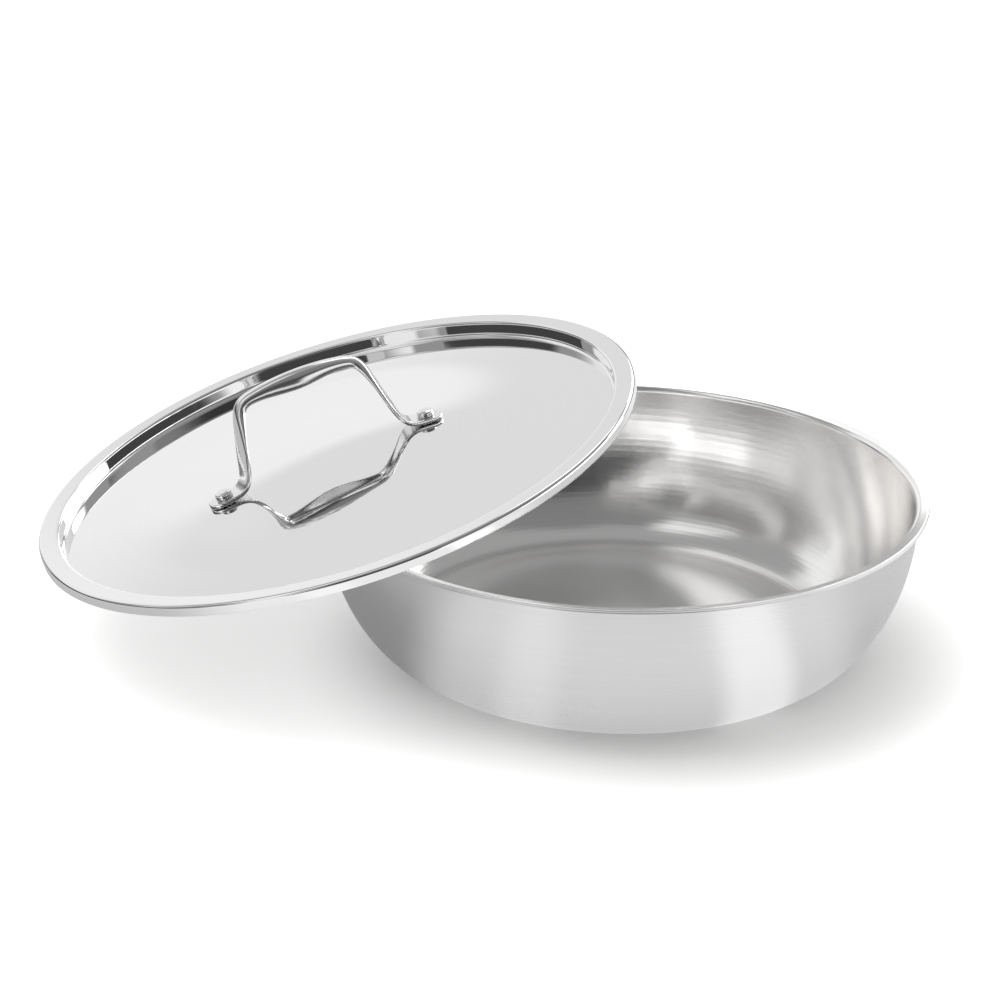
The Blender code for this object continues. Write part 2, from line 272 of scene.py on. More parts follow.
class HandleSettings(bpy.types.PropertyGroup):
    """Sizes and finish of the strap handle and its rivets."""
    shift: length("Shift", "How far the handle sits off the lid's axis", -0.0056, -1.0)
    side: length("Side", "How far the tabs sit to one side of the axis", -0.0042, -1.0)
    thickness: length("Thickness", "Thickness of the strip", 0.0020)
    rivet_reach: length("Rivet reach", "Distance from the middle to a rivet", 0.0464)
    corner_reach: length("Corner reach", "Distance from the middle to a corner", 0.0296)
    grip_height: length("Grip height", "Height of the corners over the dome", 0.0321)
    grip_arch: length("Grip arch", "Extra height at the middle of the grip", 0.0050)
    lean: turn("Lean", "How far the legs lean back", 23.0)
    leg_twist: turn("Leg twist", "How far the legs turn their far edges out", 14.0)
    grip_tilt: turn("Grip tilt", "How far the grip turns to the front", 8.0)
    tab_width: length("Tab width", "Width of the strip at the tabs", 0.0108)
    leg_width: length("Leg width", "Width of the strip in the legs", 0.0120)
    neck_width: length("Neck width", "Width of the strip at the corners", 0.0078)
    grip_width: length("Grip width", "Width of the strip in the grip", 0.0106)
    leg_curl: length("Leg curl", "Depth of the turned edges in the legs", 0.0018)
    neck_curl: length("Neck curl", "Depth of the turned edges at the corners", 0.0044)
    grip_curl: length("Grip curl", "Depth of the turned edges in the grip", 0.0086)
    head_radius: length("Rivet head radius", "Radius of a rivet's head", 0.0036)
    head_height: length("Rivet head height", "Height of a rivet's head", 0.0025)
    shank_radius: length("Rivet shank radius", "Radius of a rivet's shank", 0.0020)
    tail_radius: length("Rivet tail radius", "Radius of the closed end", 0.0033)
    tail_height: length("Rivet tail height", "Height of the closed end", 0.0012)
    steel_colour: colour("Colour", "Colour of the polished steel", (0.84, 0.84, 0.84))


class StageSettings(bpy.types.PropertyGroup):
    """Floor, surroundings and light."""
    floor_colour: colour("Floor", "Colour of the floor", (0.90, 0.895, 0.89))
    floor_size: length("Floor size", "Width of the floor", 16.0)
    # A painted glow that only the camera sees on the floor. It is full on the open floor and
    # weak in the painted shade's heart under the pot, so the pot's real shadow shows only
    # near it
    floor_lift: share("Floor lift", "White that the camera sees on the open floor", 0.50)
    heart_lift: share("Heart lift", "White that the camera sees under the pot", 0.05)
    shade_heart: length("Shade heart", "Radius of the shade's dark heart", 0.085)
    shade_reach: length("Shade reach", "Radius where the shade has faded", 0.165)
    # Metal sees the floor's painted reflections in place of its shaded colour by this share,
    # with a painted level of light between their panels
    floor_in_metal: share("Floor in metal", "How far metal sees a floor with no shade", 0.60)
    floor_level: share("Floor level", "Light of that floor between its panels", 0.92)
    dome_radius: length("Dome radius", "Distance of the studio's surroundings", 3.0)
    room_level: share("Room level", "Light of the studio between its panels", 0.34)
    key_power: bpy.props.FloatProperty(
        name="Key power", description="Power of the main lamp", default=7.0,
        min=0.0, unit="POWER")
    side_fill: share("Side fill", "Even light from the horizon", 0.30)
    top_fill: bpy.props.FloatProperty(
        name="Top fill", description="Even light from overhead", default=1.15, min=0.0)


SETTINGS = {"pot_bowl": BowlSettings, "pot_lid": LidSettings,
            "pot_handle": HandleSettings, "pot_stage": StageSettings}


def of(kind):
    """The settings of one kind in the open scene."""
    return getattr(bpy.context.scene, kind)


# outlines

def rounded(corners, steps):
    """Turns (x, y, radius) corners into points, with an arc at each rounded corner."""
    points = []
    for index, (x, y, radius) in enumerate(corners):
        here = Vector((x, y))
        if radius == 0.0 or index in (0, len(corners) - 1):
            points.append(here)
            continue
        before = (Vector(corners[index - 1][:2]) - here).normalized()
        after = (Vector(corners[index + 1][:2]) - here).normalized()
        half = before.angle(after) / 2
        bisector = (before + after).normalized()
        centre = here + bisector * radius / math.sin(half)
        start = here + before * radius / math.tan(half) - centre
        sweep = math.pi - 2 * half
        bend = math.copysign(sweep, start.cross(-before))
        for step in range(steps + 1):
            points.append(centre + Matrix.Rotation(bend * step / steps, 2) @ start)
    return points


def offset(path, distance):
    """Moves an open path sideways, to its right as it runs, by one distance."""
    moved = []
    for index, point in enumerate(path):
        back = path[max(index - 1, 0)]
        ahead = path[min(index + 1, len(path) - 1)]
        ways = [w.normalized() for w in (point - back, ahead - point) if w.length > 0]
        sides = [Vector((w.y, -w.x)) for w in ways]
        normal = sum(sides, Vector((0.0, 0.0))).normalized()
        place = point + normal * distance / normal.dot(sides[0])
        if point.x == 0.0:
            place.x = 0.0
        moved.append(place)
    return moved


def sheet_outline(path, near, far, edge):
    """Closes a strip between two offsets of a path, with its cut edge rounded."""
    top = offset(path, near)
    under = offset(path, far)
    cut = [(*top[-2], 0.0), (*top[-1], edge), (*under[-1], edge), (*under[-2], 0.0)]
    return top[:-1] + rounded(cut, CUT_EDGE_STEPS)[1:-1] + list(reversed(under[:-1]))


def supported(outline, reach):
    """Adds a point near each end of the long runs, so that bends stay crisp."""
    points = [outline[0]]
    for before, after in zip(outline, outline[1:]):
        run = (after - before).length
        if run > 3 * reach:
            points.append(before.lerp(after, reach / run))
            points.append(after.lerp(before, reach / run))
        points.append(after)
    return points


# meshes

def link(name, data):
    """Makes an object for a mesh, a lamp or a camera, at the origin."""
    item = bpy.data.objects.new(name, data)
    bpy.context.scene.collection.objects.link(item)
    return item


def mesh_from(form, name):
    """Turns an edit form into a mesh, and lets go of the form."""
    mesh = bpy.data.meshes.new(name)
    form.to_mesh(mesh)
    form.free()
    return mesh


def plain_mesh(item):
    """Puts the mesh that a piece's modifiers make in place of its own."""
    bpy.context.view_layer.update()
    graph = bpy.context.evaluated_depsgraph_get()
    mesh = bpy.data.meshes.new_from_object(item.evaluated_get(graph))
    old = item.data
    item.modifiers.clear()
    item.data = mesh
    bpy.data.meshes.remove(old)
    mesh.name = item.name


def face_out(item):
    """Turns every face of a closed piece outwards."""
    form = bmesh.new()
    form.from_mesh(item.data)
    bmesh.ops.recalc_face_normals(form, faces=form.faces)
    form.to_mesh(item.data)
    form.free()


# nodes

def made_once(build):
    """Finds a node group by its function's name, and builds it the first time."""
    def found():
        name = build.__name__
        return bpy.data.node_groups.get(name) or build(name)
    return found


def start_group(name, kind, inputs, outputs):
    """Starts a node group with named sockets. Returns it, its inputs and its outputs."""
    tree = bpy.data.node_groups.new(name, kind)
    for way, sockets in (("INPUT", inputs), ("OUTPUT", outputs)):
        for label, socket in sockets.items():
            tree.interface.new_socket(label, in_out=way, socket_type="NodeSocket" + socket)
    given = tree.nodes.new("NodeGroupInput").outputs
    result = tree.nodes.new("NodeGroupOutput").inputs
    return tree, given, result


def node(tree, kind, inputs=None, **settings):
    """Adds a node, and sets or links its inputs."""
    made = tree.nodes.new(kind)
    for name, value in settings.items():
        setattr(made, name, value)
    for key, value in (inputs or {}).items():
        if isinstance(value, bpy.types.NodeSocket):
            tree.links.new(value, made.inputs[key])
        else:
            made.inputs[key].default_value = value
    return made


def reckon(tree, operation, *values):
    """A Math node's result."""
    made = node(tree, "ShaderNodeMath", dict(enumerate(values)), operation=operation)
    return made.outputs[0]


def reckon_vector(tree, operation, *values):
    """A Vector Math node's results."""
    made = node(tree, "ShaderNodeVectorMath", dict(enumerate(values)), operation=operation)
    return made.outputs


def ramp(tree, value, start, end, low, high, shape="LINEAR"):
    """A result that goes from low to high while a value goes from start to end."""
    made = node(tree, "ShaderNodeMapRange", {
        "Value": value, "From Min": start, "From Max": end, "To Min": low, "To Max": high,
    }, interpolation_type=shape)
    return made.outputs[0]


def split(tree, vector):
    """The X, Y and Z of a vector."""
    return node(tree, "ShaderNodeSeparateXYZ", {0: vector}).outputs


def combined(tree, x, y, z):
    """A vector from its X, Y and Z."""
    return node(tree, "ShaderNodeCombineXYZ", {0: x, 1: y, 2: z}).outputs[0]


# turned pieces

@made_once
def turned_piece(name):
    """Geometry nodes that turn an outline in the XZ plane about Z, and place it."""
    tree, given, result = start_group(
        name, "GeometryNodeTree",
        {"Outline": "Geometry", "Steps": "Int", "Location": "Vector",
         "Rotation": "Vector", "Finish": "Material"}, {"Piece": "Geometry"})
    size = node(tree, "GeometryNodeAttributeDomainSize", {"Geometry": given["Outline"]})
    columns = reckon(tree, "ADD", given["Steps"], 1.0)
    grid = node(tree, "GeometryNodeMeshGrid", {
        "Vertices X": size.outputs["Point Count"], "Vertices Y": columns})
    index = tree.nodes.new("GeometryNodeInputIndex").outputs[0]
    row = reckon(tree, "FLOOR", reckon(
        tree, "DIVIDE", reckon(tree, "ADD", index, 0.5), columns))
    column = reckon(tree, "SUBTRACT", index, reckon(tree, "MULTIPLY", row, columns))
    angle = reckon(tree, "DIVIDE",
                   reckon(tree, "MULTIPLY", column, 2 * math.pi), given["Steps"])
    sample = node(tree, "GeometryNodeSampleIndex", {
        "Geometry": given["Outline"], "Index": row,
        "Value": tree.nodes.new("GeometryNodeInputPosition").outputs[0],
    }, data_type="FLOAT_VECTOR", domain="POINT")
    parts = split(tree, sample.outputs[0])
    swept = combined(
        tree, reckon(tree, "MULTIPLY", parts["X"], reckon(tree, "COSINE", angle)),
        reckon(tree, "MULTIPLY", parts["X"], reckon(tree, "SINE", angle)), parts["Z"])
    shell = node(tree, "GeometryNodeSetPosition", {
        "Geometry": grid.outputs["Mesh"], "Position": swept})
    merged = node(tree, "GeometryNodeMergeByDistance", {
        "Geometry": shell.outputs[0], "Distance": MERGE_DISTANCE})
    smooth = node(tree, "GeometryNodeSetShadeSmooth", {"Geometry": merged.outputs[0]})
    rotation = node(tree, "FunctionNodeEulerToRotation", {0: given["Rotation"]})
    placed = node(tree, "GeometryNodeTransform", {
        "Geometry": smooth.outputs[0], "Translation": given["Location"],
        "Rotation": rotation.outputs[0]})
    real = node(tree, "GeometryNodeRealizeInstances", {0: placed.outputs[0]})
    finish = node(tree, "GeometryNodeSetMaterial", {
        "Geometry": real.outputs[0], "Material": given["Finish"]})
    tree.links.new(finish.outputs[0], result["Piece"])
    return tree


def set_input(modifier, name, value):
    """Sets a geometry nodes input by the name of its socket."""
    for item in modifier.node_group.interface.items_tree:
        if item.item_type == "SOCKET" and item.in_out == "INPUT" and item.name == name:
            modifier[item.identifier] = value
            return
    raise KeyError(name)


def turned(name, outline, steps, finish, place=None):
    """Makes a plain mesh piece by turning an outline that runs from top to bottom."""
    mesh = bpy.data.meshes.new(name)
    points = [(point.x, 0.0, point.y) for point in outline]
    mesh.from_pydata(points, [(i, i + 1) for i in range(len(points) - 1)], [])
    item = link(name, mesh)
    modifier = item.modifiers.new("turn", "NODES")
    modifier.node_group = turned_piece()
    set_input(modifier, "Steps", steps)
    set_input(modifier, "Finish", finish)
    if place is not None:
        set_input(modifier, "Location", tuple(place.to_translation()))
        set_input(modifier, "Rotation", tuple(place.to_euler()))
    plain_mesh(item)
    face_out(item)
    return item


# finishes

def new_material(name):
    """Starts a material. Returns it, its nodes and its shader."""
    material = bpy.data.materials.new(name)
    material.use_nodes = True
    tree = material.node_tree
    return material, tree, tree.nodes["Principled BSDF"]


def noise(tree, vector, scale, detail, roughness):
    """Soft noise between nought and one."""
    return node(tree, "ShaderNodeTexNoise", {
        "Vector": vector, "Scale": scale, "Detail": detail, "Roughness": roughness,
    }).outputs[0]


def spread(tree, value, low, high):
    """Stretches the part of a noise's range that shows to run from low to high."""
    return ramp(tree, value, *NOISE_RANGE, low, high)


def mixed(tree, part, first, second):
    """The first colour, with a part of it turned into the second."""
    return node(tree, "ShaderNodeMix", {
        0: part, 6: (*first, 1.0), 7: (*second, 1.0)}, data_type="RGBA").outputs[2]


def tinted(tree, value, base, contrast):
    """A colour that grain makes a little darker and lighter."""
    dark = tuple(channel * (1 - contrast) for channel in base)
    light = tuple(min(1.0, channel * (1 + contrast)) for channel in base)
    return mixed(tree, spread(tree, value, 0.0, 1.0), dark, light)


@made_once
def turned_grain(name):
    """Fine lines that run round the Z axis, as brushing or polishing leaves them."""
    tree, given, result = start_group(
        name, "ShaderNodeTree",
        {"Vector": "Vector", "Fineness": "Float", "Line Length": "Float"},
        {"Grain": "Float", "Bands": "Float"})
    parts = split(tree, given["Vector"])
    flat = combined(tree, parts["X"], parts["Y"], 0.0)
    radius = reckon_vector(tree, "LENGTH", flat)["Value"]
    way = split(tree, reckon_vector(tree, "NORMALIZE", flat)["Vector"])
    run = reckon(tree, "ADD", radius, parts["Z"])
    along = reckon(tree, "DIVIDE", GRAIN_RADIUS, given["Line Length"])
    lines = combined(tree, reckon(tree, "MULTIPLY", run, given["Fineness"]),
                     reckon(tree, "MULTIPLY", way["X"], along),
                     reckon(tree, "MULTIPLY", way["Y"], along))
    wide = reckon_vector(tree, "MULTIPLY", lines, BAND_SCALE)["Vector"]
    fine = noise(tree, lines, scale=1.0, detail=2.0, roughness=0.6)
    bands = noise(tree, wide, scale=1.0, detail=3.0, roughness=0.55)
    tree.links.new(fine, result["Grain"])
    tree.links.new(bands, result["Bands"])
    return tree


@made_once
def wiped_patches(name):
    """Cloudy patches, as wiping leaves them on steel."""
    tree, given, result = start_group(
        name, "ShaderNodeTree", {"Vector": "Vector", "Patch Size": "Float"},
        {"Patches": "Float"})
    scale = reckon(tree, "DIVIDE", 1.0, given["Patch Size"])
    patches = noise(tree, given["Vector"], scale, detail=3.0, roughness=0.5)
    tree.links.new(patches, result["Patches"])
    return tree


def effect(tree, source, inputs, label=""):
    """Places a shader node group in a material. Returns its results."""
    made = node(tree, "ShaderNodeGroup", inputs, node_tree=source, label=label)
    return made.outputs


def steel(name, base, roughness, fineness, line, bump, contrast, place=None,
          anisotropy=0.0):
    """A turned steel finish: grain round the axis, patches, and roughness from both.

    Roughness is a low and a high. Fineness is about the number of the grain's lines to
    the metre, line is their length, and bump is their depth.
    """
    if name in bpy.data.materials:
        return bpy.data.materials[name]
    material, tree, shader = new_material(name)
    where = tree.nodes.new("ShaderNodeTexCoord").outputs["Object"]
    if place is not None:
        where = node(tree, "ShaderNodeMapping", {
            "Vector": where, "Location": place.to_translation(),
            "Rotation": place.to_euler()}, vector_type="TEXTURE").outputs[0]
    grain = effect(tree, turned_grain(), {
        "Vector": where, "Fineness": fineness, "Line Length": line})
    wiped = effect(tree, wiped_patches(), {"Vector": where, "Patch Size": PATCH_SIZE})
    both = reckon(tree, "MULTIPLY_ADD", grain["Bands"], BAND_WEIGHT,
                  reckon(tree, "MULTIPLY", wiped["Patches"], 1 - BAND_WEIGHT))
    tone = tinted(tree, grain["Grain"], base, contrast)
    relief = node(tree, "ShaderNodeBump", {
        "Strength": 1.0, "Distance": bump, "Height": grain["Grain"]})
    shader.inputs["Metallic"].default_value = 1.0
    tree.links.new(tone, shader.inputs["Base Color"])
    tree.links.new(spread(tree, both, *roughness), shader.inputs["Roughness"])
    tree.links.new(relief.outputs[0], shader.inputs["Normal"])
    if anisotropy:
        tangent = node(tree, "ShaderNodeTangent", direction_type="RADIAL", axis="Z")
        shader.inputs["Anisotropic"].default_value = anisotropy
        shader.inputs["Anisotropic Rotation"].default_value = QUARTER_TURN
        tree.links.new(tangent.outputs[0], shader.inputs["Tangent"])
    return material


def brushed_inside():
    """The bowl's inside, brushed round and round."""
    return steel("brushed_inside", of("pot_bowl").inside_colour, roughness=(0.15, 0.19),
                 fineness=3200.0, line=0.03, bump=0.0000008, contrast=0.03,
                 anisotropy=0.75)


def bare_core():
    """The bare aluminium between the skins."""
    return steel("bare_core", of("pot_bowl").core_colour, roughness=(0.35, 0.45),
                 fineness=2500.0, line=0.05, bump=0.0000008, contrast=0.03)


def satin_outside():
    """The bowl's satin outside."""
    return steel("satin_outside", of("pot_bowl").outside_colour, roughness=(0.26, 0.30),
                 fineness=1200.0, line=0.05, bump=0.0000001, contrast=0.02,
                 anisotropy=0.8)


def ground_edge_highlight():
    """The ground edge of the rim. Its near-white colour is partly a painted highlight."""
    return steel("ground_edge_highlight", of("pot_bowl").edge_colour, roughness=(0.22, 0.34),
                 fineness=1500.0, line=0.01, bump=0.0000005, contrast=0.04)


def mirror_lid():
    """The lid's mirror polish."""
    return steel("mirror_lid", of("pot_lid").steel_colour, roughness=(0.015, 0.045),
                 fineness=1800.0, line=0.2, bump=0.00000005, contrast=0.01,
                 place=lid_matrix())


def polished_steel():
    """The handle's and rivets' polished steel."""
    return steel("polished_steel", of("pot_handle").steel_colour, roughness=(0.16, 0.21),
                 fineness=1500.0, line=0.02, bump=0.0000001, contrast=0.02,
                 place=lid_matrix())


# the pot

def bowl_path(bowl, wall):
    """The bowl's inner surface, from the axis out over the flared lip."""
    across = bowl.mouth_radius - bowl.base_radius
    path = [Vector((bowl.base_radius * step / BOWL_FLOOR_STEPS, wall))
            for step in range(BOWL_FLOOR_STEPS)]
    for step in range(BOWL_SIDE_STEPS + 1):
        angle = math.pi / 2 * step / BOWL_SIDE_STEPS
        path.append(Vector((
            bowl.mouth_radius - across * (1 - math.sin(angle)),
            wall + (bowl.curve_height - wall) * (1 - math.cos(angle)),
        )))
    end = Vector((bowl.rim_radius - wall * math.sin(bowl.lip_slope), bowl.height))
    rise = (end.x - bowl.mouth_radius) * math.tan(bowl.lip_slope)
    bend = (bowl.mouth_radius, end.y - rise, bowl.lip_bend)
    return path[:-1] + rounded([(*path[-1], 0.0), bend, (*end, 0.0)], SHEET_BEND_STEPS)


def grind_rim(ply, rim_radius):
    """Gives the faces of a ply's cut edge the ground finish, with its painted highlight."""
    ply.data.materials.append(ground_edge_highlight())
    for face in ply.data.polygons:
        outward = face.normal.xy.dot(face.center.xy.normalized())
        if face.center.xy.length > rim_radius - GROUND_REACH and outward > GROUND_FACING:
            face.material_index = 1


class COOKWARE_OT_bowl(bpy.types.Operator):
    """Builds the clad bowl as two steel skins over an aluminium core"""
    bl_idname = "cookware.bowl"
    bl_label = "Clad Bowl"

    def execute(self, context):
        bowl = of("pot_bowl")
        wall = 2 * bowl.skin + bowl.core + 2 * TOUCH_GAP
        first = bowl.skin + TOUCH_GAP / 2
        second = wall - first
        plies = (
            ("inner_skin", 0.0, first, brushed_inside(), "pot_inner_skin"),
            ("aluminium_core", first, second, bare_core(), "pot_aluminium_core"),
            ("outer_skin", second, wall, satin_outside(), "pot_outer_skin"),
        )
        path = bowl_path(bowl, wall)
        for name, near, far, finish, cad in plies:
            outline = sheet_outline(path, near, far, PLY_EDGE_RADIUS)
            ply = turned(name, supported(outline, SHEET_SUPPORT), bowl.steps, finish)
            grind_rim(ply, bowl.rim_radius)
            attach(ply, "pot")
            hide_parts(cad)
        return {"FINISHED"}


# the lid

def lid_matrix():
    """The lid's frame as it leans on the rim."""
    return (
        Matrix.Translation(LID_PLACE)
        @ Matrix.Rotation(LID_HEADING, 4, "Z")
        @ Matrix.Rotation(-LID_TILT, 4, "Y")
        @ Matrix.Rotation(HANDLE_TURN, 4, "Z")
    )


def dome_height(radius):
    """Height of the disc over its foot, a soft bell that dies out in a flat."""
    lid = of("pot_lid")
    if radius >= lid.dome_radius:
        return 0.0
    return lid.dome_rise * (1 + math.cos(math.pi * radius / lid.dome_radius)) / 2


def disc_under_handle(along):
    """Height of the disc in the lid's frame, and its slope, under the handle."""
    lid, handle = of("pot_lid"), of("pot_handle")
    radius = math.hypot(along, handle.side)
    steepest = lid.dome_rise * math.pi / (2 * lid.dome_radius)
    slope = -steepest * math.sin(math.pi * radius / lid.dome_radius) * along / radius
    return dome_height(radius) - lid.recess_depth, slope


def lid_path(lid):
    """The lid's top surface, from the axis over the dome, up the wall and the lip."""
    radii = [lid.dome_radius * step / LID_DOME_STEPS
             for step in range(LID_DOME_STEPS + 1)]
    path = [Vector((radius, dome_height(radius) - lid.recess_depth)) for radius in radii]
    rim = rounded([
        (*path[-1], 0.0),
        (lid.recess_radius - lid.draft, -lid.recess_depth, lid.foot_fillet),
        (lid.recess_radius, 0.0, lid.lip_fillet),
        (lid.radius, lid.lip_rise, lid.edge_fillet),
        (lid.radius, -lid.skirt, 0.0),
    ], SHEET_BEND_STEPS)
    return path + rim[1:]


class COOKWARE_OT_lid(bpy.types.Operator):
    """Builds the pressed lid, leaning on the rim"""
    bl_idname = "cookware.lid"
    bl_label = "Pressed Lid"

    def execute(self, context):
        lid = of("pot_lid")
        outline = sheet_outline(lid_path(lid), 0.0, lid.thickness, LID_EDGE_RADIUS)
        piece = turned("pressed_lid", supported(outline, SHEET_SUPPORT), lid.steps,
                       mirror_lid(), lid_matrix())
        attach(piece, "lid")
        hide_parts("lid")
        return {"FINISHED"}


# the handle

def strap_line(handle):
    """The strap's top line in the plane of its length and height, arch left out."""
    top = dome_height(0.0) - of("pot_lid").recess_depth + handle.grip_height
    sides = []
    for side in (-1, 1):
        along = handle.shift + side * handle.rivet_reach
        height, slope = disc_under_handle(along)
        level = height + (TOUCH_GAP + handle.thickness) * math.sqrt(1 + slope * slope)
        end = side * TAB_BEYOND_RIVET
        foot = -side * FOOT_BEFORE_RIVET
        sides.append([
            (along + end, level + slope * end, 0.0),
            (along + foot, level + slope * foot, FOOT_BEND_RADIUS),
            (handle.shift + side * handle.corner_reach, top, CORNER_BEND_RADIUS),
        ])
    left, right = sides
    return rounded(left + list(reversed(right)), STRAP_BEND_STEPS)


def even_points(path, spacing):
    """Points along a path an even distance apart, and that distance."""
    total = sum((after - before).length for before, after in zip(path, path[1:]))
    count = math.ceil(total / spacing)
    step = total / count
    points, wanted, start = [path[0]], step, 0.0
    for before, after in zip(path, path[1:]):
        leg = (after - before).length
        while wanted < start + leg and len(points) < count:
            points.append(before.lerp(after, (wanted - start) / leg))
            wanted += step
        start += leg
    return points + [path[-1]], step


def softened(points, reach):
    """Averages each point with its neighbours, fewer of them near the ends."""
    soft = []
    for index in range(len(points)):
        side = min(reach, index, len(points) - 1 - index)
        near = points[index - side:index + side + 1]
        soft.append(sum(near, near[0] * 0.0) / len(near))
    return soft


def ease(part):
    """A share from nought to one, with a soft start and end."""
    return part * part * (3 - 2 * part)


def eased(stops, place):
    """Reads a value between stops of (place, value), with a soft start and end."""
    for (start, low), (end, high) in zip(stops, stops[1:]):
        if place <= end:
            part = max(0.0, (place - start) / (end - start))
            return low + (high - low) * ease(part)
    return stops[-1][1]


def strap_section(width, curl, thickness):
    """A ring round the strap: a sheet with round edges, both long edges curled down."""
    top = []
    for step in range(STRAP_STEPS + 1):
        angle = math.pi * (1 - step / STRAP_STEPS)
        across = math.copysign(abs(math.cos(angle)) ** ARCH_POWER, math.cos(angle))
        fall = curl * (math.sin(angle) ** ARCH_POWER - 1)
        top.append(Vector((across * width / 2, fall)))
    upper, under = [], []
    for index, point in enumerate(top):
        way = top[min(index + 1, STRAP_STEPS)] - top[max(index - 1, 0)]
        normal = Vector((-way.y, way.x)).normalized()
        part = abs(2 * index / STRAP_STEPS - 1)
        half = thickness / 2 * math.sqrt(max(0.0, 1 - part ** EDGE_POWER))
        middle = point - normal * thickness / 2
        upper.append(middle + normal * half)
        under.append(middle - normal * half)
    return upper + under[-2:0:-1]


def strap_centre(handle, point, foot):
    """Places a point of the strap's line in space, leant back and arched."""
    reach = point.x - handle.shift
    limit = handle.corner_reach + ARCH_INTO_CORNER * CORNER_BEND_RADIUS
    arch = handle.grip_arch * max(0.0, 1 - (reach / limit) ** 2)
    climb = max(0.0, point.y - foot)
    leaning = climb - LEAN_START / 2
    if climb < LEAN_START:
        leaning = climb * climb / (2 * LEAN_START)
    back = handle.side + leaning * math.tan(handle.lean)
    return Vector((point.x, back, point.y + arch))


def strap_stops(handle, middle):
    """Widths, curls and twists at places from the strap's end to its middle."""
    tab = TAB_BEYOND_RIVET + FOOT_BEFORE_RIVET
    leg = tab + handle.grip_height * FULL_LEG
    neck = tab + handle.grip_height
    widths = ((tab / 2, handle.tab_width), (leg, handle.leg_width),
              (neck, handle.neck_width), (middle, handle.grip_width))
    curls = ((tab, 0.0), (leg, handle.leg_curl),
             (neck, handle.neck_curl), (middle, handle.grip_curl))
    twists = ((tab - FOOT_BEND_RADIUS, 0.0), (leg, handle.leg_twist),
              (neck, handle.leg_twist), (middle, 0.0))
    return widths, curls, twists


def strap_axes(tangent, tilt, twist):
    """The directions across the strap and out of its top face."""
    across = Vector((0.0, math.cos(tilt), -math.sin(tilt)))
    across = (across - tangent * across.dot(tangent)).normalized()
    twisted = Matrix.Rotation(twist, 3, tangent)
    return twisted @ across, twisted @ tangent.cross(across)


def close_rings(form, rings):
    """Joins rings of points into a tube with closed ends."""
    count = len(rings[0])
    for before, after in zip(rings, rings[1:]):
        for here in range(count):
            beyond = (here + 1) % count
            form.faces.new((before[here], after[here], after[beyond], before[beyond]))
    form.faces.new(rings[0])
    form.faces.new(list(reversed(rings[-1])))


def strap_sheet(handle):
    """The strap as one closed mesh in the lid's frame."""
    path, step = even_points(strap_line(handle), STRAP_SPACING)
    last = len(path) - 1
    foot = max(path[0].y, path[-1].y) + handle.thickness / 2
    tilt_height = (max(point.y for point in path) - foot) * FULL_LEG
    centres = [strap_centre(handle, point, foot) for point in path]
    centres = softened(softened(centres, BEND_SOFTNESS), BEND_SOFTNESS)
    widths, curls, twists = strap_stops(handle, step * last / 2)
    end_round = handle.tab_width / 2

    form = bmesh.new()
    rings = []
    for index, centre in enumerate(centres):
        place = min(index, last - index) * step
        tangent = centres[min(index + 1, last)] - centres[max(index - 1, 0)]
        climb = min(1.0, max(0.0, (path[index].y - foot) / tilt_height))
        across, up = strap_axes(tangent.normalized(), handle.grip_tilt * ease(climb),
                                eased(twists, place))
        width = eased(widths, place)
        if place < end_round:
            inset = (end_round - place) / end_round
            width *= math.sqrt(max(TIP_WIDTH_SQUARED, 1 - inset * inset))
        section = strap_section(width, eased(curls, place), handle.thickness)
        rings.append([form.verts.new(centre + across * point.x + up * point.y)
                      for point in section])
    close_rings(form, rings)
    mesh = mesh_from(form, "strap_handle")
    mesh.shade_smooth()
    return mesh


class COOKWARE_OT_handle(bpy.types.Operator):
    """Builds the strap handle, pressed from one strip"""
    bl_idname = "cookware.handle"
    bl_label = "Strap Handle"

    def execute(self, context):
        piece = link("strap_handle", strap_sheet(of("pot_handle")))
        fine = piece.modifiers.new("fine", "SUBSURF")
        fine.levels = fine.render_levels = 1
        plain_mesh(piece)
        face_out(piece)
        piece.data.transform(lid_matrix())
        piece.data.materials.append(polished_steel())
        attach(piece, "lid")
        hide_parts("lid_handle")
        return {"FINISHED"}


# the rivets

def rivet_matrix(side):
    """The frame of a rivet, on the disc's surface and square to it."""
    handle = of("pot_handle")
    along = handle.shift + side * handle.rivet_reach
    height, slope = disc_under_handle(along)
    lean = Matrix.Rotation(-math.atan(slope), 4, "Y")
    return lid_matrix() @ Matrix.Translation((along, handle.side, height)) @ lean


def rivet_outline(handle, sheet):
    """Half the section of a rivet: crowned head, shank and closed tail."""
    seat = TOUCH_GAP + handle.thickness + TOUCH_GAP
    top = seat + handle.head_height
    below = -sheet - TOUCH_GAP
    under = below - handle.tail_height
    outline = rounded([
        (0.0, top, 0.0),
        (handle.head_radius * CROWN_START, top, handle.head_radius),
        (handle.head_radius, top - HEAD_EDGE_DROP, HEAD_EDGE_RADIUS),
        (handle.head_radius, seat, 0.0),
        (handle.shank_radius, seat, 0.0),
        (handle.shank_radius, below, 0.0),
        (handle.tail_radius, below, 0.0),
        (handle.tail_radius, under, TAIL_EDGE_RADIUS),
        (0.0, under, 0.0),
    ], RIVET_BEND_STEPS)
    return supported(outline, RIVET_SUPPORT)


class COOKWARE_OT_rivets(bpy.types.Operator):
    """Builds the two rivets that hold the handle"""
    bl_idname = "cookware.rivets"
    bl_label = "Rivets"

    def execute(self, context):
        outline = rivet_outline(of("pot_handle"), of("pot_lid").thickness)
        for name, side in (("left_rivet", -1), ("right_rivet", 1)):
            piece = turned(name + "_head", outline, RIVET_FACETS, polished_steel(),
                           rivet_matrix(side))
            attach(piece, "lid")
            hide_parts(name)
        return {"FINISHED"}


# the stage

